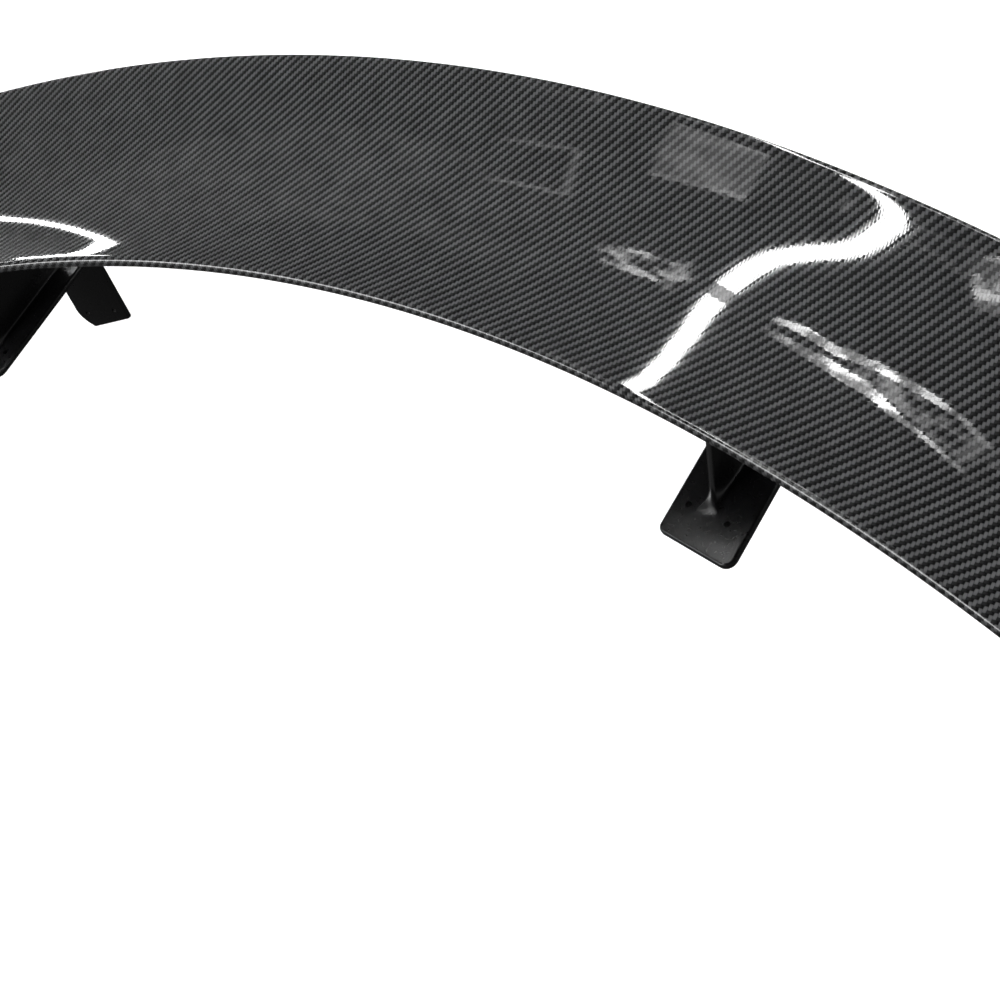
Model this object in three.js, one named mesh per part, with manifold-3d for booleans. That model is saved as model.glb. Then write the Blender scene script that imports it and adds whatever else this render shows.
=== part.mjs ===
// A bowed racing rear wing for a boot lid: a hollow carbon aerofoil, bonded over a foam core,
// standing on two moulded pedestals that screw to the top and the rear edge of the lid.
// Millimetres. X runs across the car, +Y rearward, +Z up. The origin is on the car's centre
// plane, at the height of the lid, below the leading edge of the wing.

import * as THREE from 'three';
import { mergeVertices } from 'three/addons/utils/BufferGeometryUtils.js';
import Module from 'manifold-3d';

const wasm = await Module();
wasm.setup();

// ---- driving dimensions -------------------------------------------------------------------

const GAP = 0.3;

const WING = {
  halfSpan: 655,
  rootChord: 170,
  leadingHeight: 105.4,
  edgeSweep: -3.065e-4,
  trailingSweep: -3.017e-4,
  trailingSweepFourth: 5.2e-11,
  bow: -1.268e-4,
  bowFourth: -8.52e-11,
  incidence: 0.2031,
  incidenceGrowth: 2.002e-7,
  hollow: 0.3216,
  hollowSkew: 0.0272,
  noseRadius: 5.5,
  thickest: 17,
  thickestAt: 0.32,
  trailingThickness: 4,
};

const SKIN = {
  thickness: 1.2,
  seamPath: 0.22,
  seamHalfGap: 0.002,
  edgeStations: [10, 7.4, 6.7, 0],
  solidBand: 6.8,
};

const CORE = {
  clearance: 0.7,
  front: 10,
  rear: 0.84,
};

const CAP = {
  length: 7,
  edgeRound: 1.2,
};

const PEDESTAL = {
  innerX: 329.2,
  width: 61.2,
  skew: 0.26,
  footFront: -67.2,
  footRear: 62.5,
  footBase: 1.8,
  footThickness: 4.2,
  edgeRound: 1.1,
  innerCorner: 5,
  outerCorner: 10,
};

const BLADE = {
  centreX: 358.2,
  thickness: 8.6,
  edgeRadius: 3,
  frontAtFoot: -42.5,
  rearAtFoot: 44,
  frontAtTop: 16,
  rearAtTop: 84,
  height: 92,
  sideFlare: 2.4,
  endFlare: 10,
};

const SADDLE = {
  halfWidth: 16,
  front: 10,
  rear: 76,
  thickness: 5,
};

const FLANGE = {
  lean: 0.206,
  thickness: 4.2,
  width: 50,
  innerDrop: 70.5,
  outerDrop: 75.3,
  outerCorner: 40,
  curveStart: 56,
};

const GASKET_INSET = 3;

// Clearance holes for M4 screws; the screws come with the car's fitting kit.
const SCREW_HOLE_RADIUS = 2.25;

const FOOT_HOLES = [
  { across: 12.1, along: -43.6 },
  { across: 44.1, along: -42.8 },
];

const FLANGE_HOLES = [
  { across: 10.5, drop: 60.5 },
  { across: 39.2, drop: 60.5 },
];

const CORNER_RELIEF_RADIUS = 0.9;

const BOLT = {
  shankRadius: 3,
  headRadius: 4.6,
  headHeight: 3.2,
  socketRadius: 2.1,
  socketDepth: 1.8,
  reach: 9,
};

const BOLT_SPOTS = [
  { name: 'front', x: 348.4, y: 24 },
  { name: 'rear', x: 368, y: 60 },
];

const INSERT = {
  radius: 5,
  length: 9,
  floor: 1.8,
};

const HARDPOINT = {
  inner: 328,
  outer: 388,
};

// ---- materials ----------------------------------------------------------------------------

const CARBON = { color: 0x17181a, roughness: 0.12, metalness: 0.0 };
const FOAM = { color: 0xd9cfae, roughness: 0.9, metalness: 0.0 };
const MOULDED = { color: 0x101113, roughness: 0.42, metalness: 0.0 };
const RUBBER = { color: 0x0b0b0c, roughness: 0.85, metalness: 0.0 };
const STEEL = { color: 0x1b1c1e, roughness: 0.4, metalness: 0.9 };
const ALUMINIUM = { color: 0xb9bcc0, roughness: 0.35, metalness: 1.0 };
const LAMINATE = { color: 0x8a6a42, roughness: 0.7, metalness: 0.0 };

const group = new THREE.Group();

function add(name, geometry, look) {
  const mesh = new THREE.Mesh(geometry, new THREE.MeshStandardMaterial(look));
  mesh.name = name;
  group.add(mesh);
}

// ---- geometry helpers ---------------------------------------------------------------------

// Keeps only the positions of a closed geometry and joins the vertices its faces share.
function welded(geometry) {
  const bare = geometry.clone();
  bare.deleteAttribute('normal');
  bare.deleteAttribute('uv');
  return mergeVertices(bare, 1e-4);
}

// Moves every vertex of a geometry to the place that a function gives for it.
function warped(geometry, place) {
  const at = geometry.attributes.position;
  for (let i = 0; i < at.count; i += 1) {
    at.setXYZ(i, ...place(at.getX(i), at.getY(i), at.getZ(i)));
  }
  return welded(geometry);
}

// A subdivided box whose three directions, each from 0 to 1, are bent into a curved slab.
function slab(steps, place) {
  const box = new THREE.BoxGeometry(1, 1, 1, ...steps);
  return warped(box, (u, v, w) => place(u + 0.5, v + 0.5, w + 0.5));
}

function mirrored(geometry) {
  const flipped = geometry.clone().applyMatrix4(new THREE.Matrix4().makeScale(-1, 1, 1));
  const order = flipped.index.array;
  for (let i = 0; i < order.length; i += 3) {
    [order[i], order[i + 1]] = [order[i + 1], order[i]];
  }
  return flipped;
}

function solid(geometry) {
  const bare = welded(geometry);
  const vertProperties = new Float32Array(bare.attributes.position.array);
  const triVerts = new Uint32Array(bare.index.array);
  return new wasm.Manifold(new wasm.Mesh({ numProp: 3, vertProperties, triVerts }));
}

function surfaceOf(manifold) {
  const mesh = manifold.getMesh();
  const geometry = new THREE.BufferGeometry();
  geometry.setAttribute('position', new THREE.BufferAttribute(mesh.vertProperties, 3));
  geometry.setIndex(new THREE.BufferAttribute(mesh.triVerts, 1));
  return geometry;
}

// A closed outline through corner points, each rounded with its own radius.
function roundedOutline(corners) {
  const shape = new THREE.Shape();
  corners.forEach(([x, y, radius], i) => {
    const here = new THREE.Vector2(x, y);
    const [beforeX, beforeY] = corners.at(i - 1);
    const [afterX, afterY] = corners[(i + 1) % corners.length];
    const towardBefore = new THREE.Vector2(beforeX, beforeY).sub(here).setLength(radius);
    const towardAfter = new THREE.Vector2(afterX, afterY).sub(here).setLength(radius);
    const start = here.clone().add(towardBefore);
    const end = here.clone().add(towardAfter);
    if (i === 0) {
      shape.moveTo(start.x, start.y);
    } else {
      shape.lineTo(start.x, start.y);
    }
    shape.quadraticCurveTo(here.x, here.y, end.x, end.y);
  });
  shape.closePath();
  return shape;
}

// A plate of even thickness, standing on the plane of its outline, with softened edges.
function softPlate(shape, thickness, edgeRound, curveSegments = 5) {
  const plate = new THREE.ExtrudeGeometry(shape, {
    depth: thickness - 2 * edgeRound,
    bevelThickness: edgeRound,
    bevelSize: edgeRound,
    bevelOffset: -edgeRound,
    bevelSegments: 2,
    curveSegments,
  });
  return plate.translate(0, 0, edgeRound);
}

// ---- the wing's surfaces ------------------------------------------------------------------

const leadingY = (x) => WING.edgeSweep * x ** 2;
const trailingY = (x) => WING.rootChord + WING.trailingSweep * x ** 2 + WING.trailingSweepFourth * x ** 4;
const chordAt = (x) => trailingY(x) - leadingY(x);
const leadingZ = (x) => WING.leadingHeight + WING.bow * x ** 2 + WING.bowFourth * x ** 4;
const incidenceAt = (x) => WING.incidence + WING.incidenceGrowth * x ** 2;

// Height of the wing's hollow upper surface above the lid, before its nose is rounded.
function upperPlane(x, share) {
  const sag = share * (1 - share);
  const hollow = WING.hollow * sag + WING.hollowSkew * sag * (1 - 2 * share);
  return leadingZ(x) + chordAt(x) * (incidenceAt(x) * share - hollow);
}

function noseDrop(behind) {
  const left = Math.max(0, WING.noseRadius - behind);
  return WING.noseRadius - Math.sqrt(WING.noseRadius ** 2 - left ** 2);
}

function depthBelow(share) {
  if (share < WING.thickestAt) {
    const left = 1 - share / WING.thickestAt;
    return WING.noseRadius + (WING.thickest - WING.noseRadius) * Math.sqrt(1 - left ** 2);
  }
  const past = (share - WING.thickestAt) / (1 - WING.thickestAt);
  return WING.trailingThickness + (WING.thickest - WING.trailingThickness) * (1 - past ** 2) ** 1.5;
}

const upperZ = (x, share) => upperPlane(x, share) - noseDrop(share * chordAt(x));
const lowerZ = (x, share) => upperPlane(x, share) - depthBelow(share);
const shareAt = (x, y) => (y - leadingY(x)) / chordAt(x);

// The section's outline: path runs from -1 at the lower trailing edge, through 0 at the nose,
// to 1 at the upper trailing edge.
function outlinePoint(x, path) {
  const share = Math.min(1, path ** 2);
  const z = path < 0 ? lowerZ(x, share) : upperZ(x, share);
  return new THREE.Vector2(leadingY(x) + share * chordAt(x), z);
}

// A point of the section at some depth below the outer surface.
function skinPoint(x, path, depth) {
  const step = 0.004;
  const ahead = outlinePoint(x, Math.min(1, path + step));
  const tangent = ahead.sub(outlinePoint(x, Math.max(-1, path - step))).normalize();
  const here = outlinePoint(x, path);
  return [x, here.x + tangent.y * depth, here.y - tangent.x * depth];
}

// ---- wing pieces --------------------------------------------------------------------------

// The path where the outline is some distance in front of the trailing edge.
const pathBeforeEdge = (x, distance) => Math.sqrt(1 - distance / chordAt(x));

// Even stations from the seam back, and then the edge's own, which bound its solid band.
function upperSkinPath(x, seam, station, steps) {
  const stations = SKIN.edgeStations;
  const evenSteps = steps - stations.length + 1;
  if (station < evenSteps) {
    return THREE.MathUtils.lerp(seam, pathBeforeEdge(x, stations[0]), station / evenSteps);
  }
  return pathBeforeEdge(x, stations[station - evenSteps]);
}

// The upper skin wraps the nose and thickens into a solid band along the trailing edge.
function upperSkin() {
  const seam = -SKIN.seamPath + SKIN.seamHalfGap;
  const steps = 19;
  return slab([26, steps, 1], (u, v, w) => {
    const x = WING.halfSpan * (2 * u - 1);
    const path = upperSkinPath(x, seam, Math.round(v * steps), steps);
    const fromEdge = (1 - path ** 2) * chordAt(x);
    const solid = path > 0 && fromEdge < SKIN.solidBand;
    const depth = solid ? WING.trailingThickness : SKIN.thickness;
    return skinPoint(x, path, depth * (1 - w));
  });
}

// The lower skin runs from the seam under the nose to the solid trailing edge.
function lowerSkin() {
  const seam = -SKIN.seamPath - SKIN.seamHalfGap;
  return slab([26, 11, 1], (u, v, w) => {
    const x = WING.halfSpan * (2 * u - 1);
    const rear = -pathBeforeEdge(x, SKIN.edgeStations[1]);
    return skinPoint(x, THREE.MathUtils.lerp(seam, rear, v), SKIN.thickness * w);
  });
}

// A length of the wing's inside, between two stations along the span.
function coreBetween(fromX, toX, spanSteps) {
  const skinDepth = SKIN.thickness + CORE.clearance;
  return slab([spanSteps, 10, 1], (u, v, w) => {
    const x = THREE.MathUtils.lerp(fromX, toX, u);
    const share = THREE.MathUtils.lerp(CORE.front / chordAt(x), CORE.rear, v);
    const low = lowerZ(x, share) + skinDepth;
    const high = upperZ(x, share) - skinDepth;
    return [x, leadingY(x) + share * chordAt(x), THREE.MathUtils.lerp(low, high, w)];
  });
}

// The closing piece of the right tip: the end section, carried on along the wing's own sweep.
function tipCap() {
  const rootX = WING.halfSpan + GAP;
  const stations = 20;
  const outline = [];
  for (let i = -stations; i <= stations; i += 1) {
    outline.push(outlinePoint(rootX, i / stations));
  }
  const cap = softPlate(new THREE.Shape(outline), CAP.length, CAP.edgeRound);
  const sweep = outlinePoint(rootX + 1, 0).sub(outlinePoint(rootX, 0));
  return warped(cap, (y, z, out) => [rootX + out, y + sweep.x * out, z + sweep.y * out]);
}

// ---- pedestal pieces ----------------------------------------------------------------------

// Across and along are measured on the foot; the foot's front and rear edges follow the lid,
// which runs further forward toward the car's sides.
function onFoot(across, along, z) {
  return [PEDESTAL.innerX + across, along - PEDESTAL.skew * across, z];
}

function footOutline(inset) {
  const { width, footFront, footRear, innerCorner, outerCorner } = PEDESTAL;
  return roundedOutline([
    [inset, footFront + inset, innerCorner],
    [width - inset, footFront + inset, outerCorner],
    [width - inset, footRear - inset, 2],
    [inset, footRear - inset, 2],
  ]);
}

function footPlate() {
  const plate = softPlate(footOutline(0), PEDESTAL.footThickness, PEDESTAL.edgeRound);
  return warped(plate, (x, y, z) => onFoot(x, y, z + PEDESTAL.footBase));
}

// The rear flange hangs from the back of the foot and leans forward under the lid's edge.
function onFlange(across, drop, back) {
  const top = PEDESTAL.footBase + PEDESTAL.footThickness;
  const y = PEDESTAL.footRear - drop * Math.sin(FLANGE.lean) + back * Math.cos(FLANGE.lean);
  return onFoot(across, y, top - drop * Math.cos(FLANGE.lean) - back * Math.sin(FLANGE.lean));
}

function rearFlange() {
  const { width, innerDrop, outerDrop, outerCorner, curveStart, thickness } = FLANGE;
  const corner = 1.6;
  const bulge = new THREE.Vector2(width - 1, -(curveStart + outerDrop) / 2);
  const shape = new THREE.Shape();
  shape.moveTo(0, 0);
  shape.lineTo(width, 0);
  shape.lineTo(width, -curveStart);
  shape.quadraticCurveTo(bulge.x, bulge.y, outerCorner + 1, -outerDrop + corner);
  shape.quadraticCurveTo(outerCorner, -outerDrop, outerCorner - corner, -outerDrop + 0.5);
  shape.lineTo(corner, -innerDrop - 0.5);
  shape.quadraticCurveTo(0, -innerDrop, 0, -innerDrop + corner);
  shape.closePath();
  const plate = softPlate(shape, thickness, PEDESTAL.edgeRound);
  return warped(plate, (x, y, z) => onFlange(x, -y, thickness - z));
}

// The upright blade leans back as it rises and flares out where it meets the foot, most at
// its front and rear ends.
function blade() {
  const { thickness, edgeRadius, height, sideFlare, endFlare } = BLADE;
  const half = thickness / 2;
  const length = BLADE.rearAtFoot - BLADE.frontAtFoot;
  const section = roundedOutline([
    [-half, 0, edgeRadius],
    [half, 0, edgeRadius],
    [half, length, edgeRadius],
    [-half, length, edgeRadius],
  ]);
  const tower = new THREE.ExtrudeGeometry(section, {
    depth: 1,
    steps: 8,
    bevelEnabled: false,
    curveSegments: 4,
  });
  const base = PEDESTAL.footBase + PEDESTAL.footThickness - 1;
  const flareAt = (rise, radius) => {
    const left = Math.max(0, 1 - rise / radius);
    return radius * (1 - Math.sqrt(1 - left ** 2));
  };
  return warped(tower, (x, y, level) => {
    const rise = height * level ** 2;
    const front = THREE.MathUtils.lerp(BLADE.frontAtFoot, BLADE.frontAtTop, level ** 2);
    const rear = THREE.MathUtils.lerp(BLADE.rearAtFoot, BLADE.rearAtTop, level ** 2);
    const towardEnd = 2 * y / length - 1;
    const outX = (2 * x / thickness) * flareAt(rise, sideFlare);
    const outY = towardEnd * flareAt(rise, endFlare);
    return [BLADE.centreX + x + outX, THREE.MathUtils.lerp(front, rear, y / length) + outY, base + rise];
  });
}

// A pad under the wing, shaped to its lower surface, that the bolts clamp.
function saddle() {
  return slab([3, 8, 1], (u, v, w) => {
    const x = BLADE.centreX + SADDLE.halfWidth * (2 * u - 1);
    const y = THREE.MathUtils.lerp(SADDLE.front, SADDLE.rear, v);
    const top = lowerZ(x, shareAt(x, y)) - GAP;
    return [x, y, top - SADDLE.thickness * (1 - w)];
  });
}

// Everything above the pedestal's top: the space that the wing takes.
function spaceOfWing() {
  const reach = 60;
  return slab([6, 16, 1], (u, v, w) => {
    const x = BLADE.centreX + reach * (2 * u - 1);
    const share = THREE.MathUtils.lerp(0.05, 0.97, v);
    const floor = lowerZ(x, share) - GAP;
    return [x, leadingY(x) + share * chordAt(x), floor + reach * w];
  });
}

// ---- fasteners ----------------------------------------------------------------------------

const SIDES = 12;

function turned(profile) {
  const points = profile.map(([radius, z]) => new THREE.Vector2(radius, z));
  return new THREE.LatheGeometry(points, SIDES).rotateX(Math.PI / 2);
}

function rod(radius, from, to) {
  return turned([[0, from], [radius, from], [radius, to], [0, to]]);
}

// Button-head bolt that points up; z is 0 at the wing's lower surface.
function saddleBolt() {
  const { shankRadius, headRadius, headHeight, socketRadius, socketDepth, reach } = BOLT;
  const seat = -(SADDLE.thickness + 2 * GAP);
  const bottom = seat - headHeight;
  return turned([
    [0, bottom + socketDepth],
    [socketRadius, bottom + socketDepth],
    [socketRadius, bottom],
    [headRadius * 0.6, bottom],
    [headRadius, bottom + headHeight * 0.6],
    [headRadius, seat],
    [shankRadius, seat],
    [shankRadius, reach],
    [0, reach],
  ]);
}

function threadedInsert() {
  const bore = BOLT.shankRadius + GAP;
  const top = INSERT.floor + INSERT.length;
  const profile = [
    [bore, INSERT.floor],
    [INSERT.radius, INSERT.floor],
    [INSERT.radius, top],
    [bore, top],
    [bore, INSERT.floor],
  ];
  return turned(profile);
}

// Stands a fastener on the wing's lower surface, square to it.
function onLowerSurface(spot) {
  const step = 2;
  const here = new THREE.Vector3(spot.x, spot.y, lowerZ(spot.x, shareAt(spot.x, spot.y)));
  const risePerY = (lowerZ(spot.x, shareAt(spot.x, spot.y + step)) - here.z) / step;
  const risePerX = (lowerZ(spot.x + step, shareAt(spot.x + step, spot.y)) - here.z) / step;
  const up = new THREE.Vector3(-risePerX, -risePerY, 1).normalize();
  const turn = new THREE.Quaternion().setFromUnitVectors(new THREE.Vector3(0, 0, 1), up);
  return new THREE.Matrix4().compose(here, turn, new THREE.Vector3(1, 1, 1));
}

// The foot's holes are upright.
function footHolePlace(hole) {
  return new THREE.Matrix4().makeTranslation(...onFoot(hole.across, hole.along, 0));
}

// The flange's holes are square to it.
function flangeHolePlace(hole) {
  const at = new THREE.Vector3(...onFlange(hole.across, hole.drop, 0));
  const across = new THREE.Vector3(...onFlange(hole.across + 1, hole.drop, 0)).sub(at);
  const down = new THREE.Vector3(...onFlange(hole.across, hole.drop + 1, 0)).sub(at);
  const back = across.cross(down).normalize();
  const turn = new THREE.Quaternion().setFromUnitVectors(new THREE.Vector3(0, 0, 1), back);
  return new THREE.Matrix4().compose(at, turn, new THREE.Vector3(1, 1, 1));
}

// The inside corner between the foot and the flange, as a line along the foot's rear edge.
function cornerReliefPlace() {
  const drop = PEDESTAL.footThickness / Math.cos(FLANGE.lean) + CORNER_RELIEF_RADIUS / 2;
  const at = new THREE.Vector3(...onFlange(0, drop, 0));
  const along = new THREE.Vector3(...onFlange(1, drop, 0)).sub(at).normalize();
  const turn = new THREE.Quaternion().setFromUnitVectors(new THREE.Vector3(0, 0, 1), along);
  return new THREE.Matrix4().compose(at, turn, new THREE.Vector3(1, 1, 1));
}

const placed = (geometry, matrix) => geometry.applyMatrix4(matrix);

// ---- assembly -----------------------------------------------------------------------------

function pedestal() {
  let body = solid(footPlate());
  body = body.add(solid(rearFlange()));
  body = body.add(solid(blade()).subtract(solid(spaceOfWing())));
  body = body.add(solid(saddle()));
  for (const hole of FOOT_HOLES) {
    body = body.subtract(solid(placed(rod(SCREW_HOLE_RADIUS, -10, 20), footHolePlace(hole))));
  }
  for (const hole of FLANGE_HOLES) {
    body = body.subtract(solid(placed(rod(SCREW_HOLE_RADIUS, -10, 10), flangeHolePlace(hole))));
  }
  const relief = rod(CORNER_RELIEF_RADIUS, -5, 1.1 * PEDESTAL.width);
  body = body.subtract(solid(placed(relief, cornerReliefPlace())));
  for (const spot of BOLT_SPOTS) {
    const hole = rod(BOLT.shankRadius + GAP, -20, 20);
    body = body.subtract(solid(placed(hole, onLowerSurface(spot))));
  }
  return surfaceOf(body);
}

function drilledLowerSkin() {
  let skin = solid(lowerSkin());
  for (const spot of BOLT_SPOTS) {
    const hole = placed(rod(BOLT.shankRadius + GAP, -10, 4), onLowerSurface(spot));
    skin = skin.subtract(solid(hole));
    skin = skin.subtract(solid(mirrored(welded(hole))));
  }
  return surfaceOf(skin);
}

function hardpoint() {
  let block = solid(coreBetween(HARDPOINT.inner, HARDPOINT.outer, 3));
  for (const spot of BOLT_SPOTS) {
    const pocket = rod(INSERT.radius + GAP, -10, INSERT.floor + INSERT.length + GAP);
    block = block.subtract(solid(placed(pocket, onLowerSurface(spot))));
  }
  return surfaceOf(block);
}

function footGasket() {
  const depth = PEDESTAL.footBase - GAP;
  const sheet = new THREE.ExtrudeGeometry(footOutline(GASKET_INSET), {
    depth,
    bevelEnabled: false,
    curveSegments: 5,
  });
  let body = solid(warped(sheet, (x, y, z) => onFoot(x, y, z)));
  for (const hole of FOOT_HOLES) {
    body = body.subtract(solid(placed(rod(SCREW_HOLE_RADIUS, -10, 20), footHolePlace(hole))));
  }
  return surfaceOf(body);
}

// Adds a piece of the right side and its mirror image on the left.
function addBoth(name, geometry, look) {
  const right = welded(geometry);
  add(`right_${name}`, right, look);
  add(`left_${name}`, mirrored(right), look);
}

add('upper_skin', upperSkin(), CARBON);
add('lower_skin', drilledLowerSkin(), CARBON);
addBoth('tip_cap', tipCap(), CARBON);

add('centre_foam_core', coreBetween(GAP - HARDPOINT.inner, HARDPOINT.inner - GAP, 16), FOAM);
addBoth('foam_core', coreBetween(HARDPOINT.outer + GAP, WING.halfSpan - 1, 8), FOAM);
addBoth('hardpoint_block', hardpoint(), LAMINATE);

addBoth('pedestal', pedestal(), MOULDED);
addBoth('foot_gasket', footGasket(), RUBBER);

for (const spot of BOLT_SPOTS) {
  addBoth(`${spot.name}_saddle_bolt`, placed(saddleBolt(), onLowerSurface(spot)), STEEL);
  addBoth(`${spot.name}_threaded_insert`, placed(threadedInsert(), onLowerSurface(spot)), ALUMINIUM);
}

export default group;
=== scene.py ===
"""A bowed carbon racing rear wing on two moulded pedestals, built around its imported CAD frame.

Lengths are worked out in millimetres, as in the CAD source, and turned into metres when a mesh
is made. X runs across the car, +Y rearward, +Z up.
"""

import math

import bmesh
import bpy
import numpy as np
from mathutils import Matrix, Vector


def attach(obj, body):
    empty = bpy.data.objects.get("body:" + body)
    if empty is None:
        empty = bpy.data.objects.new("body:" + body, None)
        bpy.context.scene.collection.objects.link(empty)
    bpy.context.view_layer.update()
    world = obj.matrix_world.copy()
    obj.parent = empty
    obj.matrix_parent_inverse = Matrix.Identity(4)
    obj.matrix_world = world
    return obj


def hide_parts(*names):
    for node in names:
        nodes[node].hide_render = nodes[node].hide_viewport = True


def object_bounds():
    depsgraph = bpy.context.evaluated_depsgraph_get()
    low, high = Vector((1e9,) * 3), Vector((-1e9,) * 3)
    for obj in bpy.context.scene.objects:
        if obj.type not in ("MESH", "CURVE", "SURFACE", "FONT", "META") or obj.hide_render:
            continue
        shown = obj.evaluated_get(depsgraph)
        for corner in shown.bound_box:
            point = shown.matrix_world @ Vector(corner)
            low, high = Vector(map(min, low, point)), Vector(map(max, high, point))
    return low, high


MM = 0.001
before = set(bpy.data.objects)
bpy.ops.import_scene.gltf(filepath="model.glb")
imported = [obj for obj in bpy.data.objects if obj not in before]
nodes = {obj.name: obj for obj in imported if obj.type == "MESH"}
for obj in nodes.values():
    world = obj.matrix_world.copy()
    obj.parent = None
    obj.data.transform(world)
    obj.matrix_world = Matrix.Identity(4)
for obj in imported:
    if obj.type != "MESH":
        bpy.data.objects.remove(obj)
cad_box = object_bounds()

# ---- driving dimensions, in millimetres and radians ---------------------------------------

# The wing. A share is a part of the chord; a path is measured as in outline_point.
GAP = 0.3
HALF_SPAN = 655.0
CAP_LENGTH = 7.0
NOSE_RADIUS = 5.5
THICKEST = 17.0
THICKEST_AT = 0.32
TRAILING_THICKNESS = 4.0
TRAILING_ROUND = 3.2
TRAILING_ROUND_UNDER = 1.0
TRAILING_ROUND_STEPS = 12
TRAILING_UNDER_STEPS = 6
ROLL_LENGTH = 20.0
ROLL_DROP = 1.0
SKIN_THICKNESS = 1.2
SEAM_PATH = 0.22
SEAM_HALF_GAP = 0.001
UPPER_EDGE_WRAP = 7.2
UPPER_WRAP_POINTS = 5
LOWER_EDGE_STOP = 7.5
CAP_EDGE_ROUND = 1.6
CAP_LOWER_POINTS = 50
CAP_LOWER_CLOTH = 140.0
SPAN_STEP = 5.0

# The cloth, turned a little from the wing's axes.
TOW = 2.0
CLOTH_TURN = 0.011
CLOTH_DATUM_Y = 20.0

# The right pedestal's foot and flange. Holes are given as places on them.
INNER_X = 329.2
FOOT_WIDTH = 61.2
FOOT_SKEW = 0.26
FOOT_FRONT = -67.2
FOOT_REAR = 62.5
FOOT_BASE = 1.8
FOOT_THICKNESS = 4.2
FOOT_TOP = FOOT_BASE + FOOT_THICKNESS
FOOT_EDGE_TOP, FOOT_EDGE_BOTTOM = 1.9, 0.7
FOOT_INNER_CORNER, FOOT_OUTER_CORNER, FOOT_REAR_CORNER = 4.6, 9.0, 2.6
FLANGE_LEAN = 0.206
FLANGE_THICKNESS = 4.2
FLANGE_EDGE = 1.1
FLANGE_WIDTH = 50.0
FLANGE_INNER_DROP, FLANGE_OUTER_DROP = 70.2, 75.0
FLANGE_CORNER_X, FLANGE_CURVE_START = 40.0, 56.0
HOLE_RADIUS = 2.25
HOLE_BEFORE, HOLE_BEYOND = 8.0, 12.0
FOOT_HOLES = [(12.1, -43.6), (44.1, -42.8)]
FLANGE_HOLES = [(10.5, 60.5), (39.2, 60.5)]

# Its blade, which leans back from the foot to the saddle, and the saddle.
BLADE_X = 358.6
BLADE_INNER_HALF = 4.8
BLADE_OUTER_FRONT, BLADE_OUTER_MIDDLE, BLADE_OUTER_REAR = -1.2, 4.2, 3.6
BLADE_NOSE = 1.9
BLADE_TAPER = 16.0
BLADE_TAIL = 9.0
BLADE_FRONT_FOOT, BLADE_FRONT_TOP = -42.5, 16.0
BLADE_REAR_FOOT, BLADE_REAR_TOP = 44.0, 84.0
BLADE_HEIGHT = 92.0
BLADE_SINK = 1.5
BLADE_INTO_SADDLE = 2.0
FOOT_FILLET_SIDE, FOOT_FILLET_END, SADDLE_FILLET = 2.0, 9.5, 3.0
SADDLE_HALF_WIDTH = 16.0
SADDLE_FRONT, SADDLE_REAR = 10.0, 76.0
SADDLE_THICKNESS = 5.0
SADDLE_CORNER = 7.0
SADDLE_EDGE = 1.4

# Edges that bend less than this, in degrees, are shaded smoothly.
SMOOTHED_UNDER = 40
CAP_SMOOTHED_UNDER = 50
MOULDED_SMOOTHED_UNDER = 32


# ---- the wing's surfaces ------------------------------------------------------------------

# All take x along the span; a share runs from 0 at the leading edge to 1 at the trailing edge.


def leading_y(x):
    return -3.065e-4 * x**2


def trailing_y(x):
    return 170.0 - 3.017e-4 * x**2 + 5.2e-11 * x**4


def chord(x):
    return trailing_y(x) - leading_y(x)


def leading_z(x):
    return 105.4 - 1.268e-4 * x**2 - 8.52e-11 * x**4


def upper_plane(x, share):
    """The hollow upper surface, before its nose and its rear edge are rounded off."""
    sag = share * (1 - share)
    hollow = 0.3216 * sag + 0.0272 * sag * (1 - 2 * share)
    incidence = 0.2031 + 2.002e-7 * x**2
    return leading_z(x) + chord(x) * (incidence * share - hollow)


def nose_drop(behind):
    left = np.maximum(0, NOSE_RADIUS - behind)
    return NOSE_RADIUS - np.sqrt(NOSE_RADIUS**2 - left**2)


def roll_drop(x, share):
    """The upper surface rolls softly down over its last few millimetres."""
    left = np.clip(1 - (1 - share) * chord(x) / ROLL_LENGTH, 0, 1)
    return ROLL_DROP * left**3


def depth_below(share):
    """How far the lower surface lies under the upper one."""
    ahead = np.clip(1 - share / THICKEST_AT, 0, 1)
    front = NOSE_RADIUS + (THICKEST - NOSE_RADIUS) * np.sqrt(1 - ahead**2)
    past = np.clip((share - THICKEST_AT) / (1 - THICKEST_AT), 0, 1)
    rear = TRAILING_THICKNESS + (THICKEST - TRAILING_THICKNESS) * (1 - past**2) ** 1.5
    return np.where(share < THICKEST_AT, front, rear)


def upper_z(x, share):
    return upper_plane(x, share) - nose_drop(share * chord(x)) - roll_drop(x, share)


def lower_z(x, share):
    return upper_plane(x, share) - depth_below(share)


def share_at(x, y):
    return (y - leading_y(x)) / chord(x)


# ---- mesh helpers -------------------------------------------------------------------------


def in_scene(name, data):
    obj = bpy.data.objects.new(name, data)
    bpy.context.scene.collection.objects.link(obj)
    return obj


def new_object(name, verts, faces):
    """A new object in the scene, from points in metres."""
    mesh = bpy.data.meshes.new(name)
    mesh.from_pydata(verts, [], faces)
    return in_scene(name, mesh)


def tidy_faces(mesh, smoothed_under, weld=True):
    """Faces outward, shaded smoothly across edges that bend less than an angle in degrees."""
    bm = bmesh.new()
    bm.from_mesh(mesh)
    if weld:
        bmesh.ops.remove_doubles(bm, verts=bm.verts, dist=1e-6)
    bmesh.ops.recalc_face_normals(bm, faces=bm.faces)
    bm.to_mesh(mesh)
    bm.free()
    mesh.shade_smooth()
    mesh.set_sharp_from_angle(angle=math.radians(smoothed_under))
    mesh.update()


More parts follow.
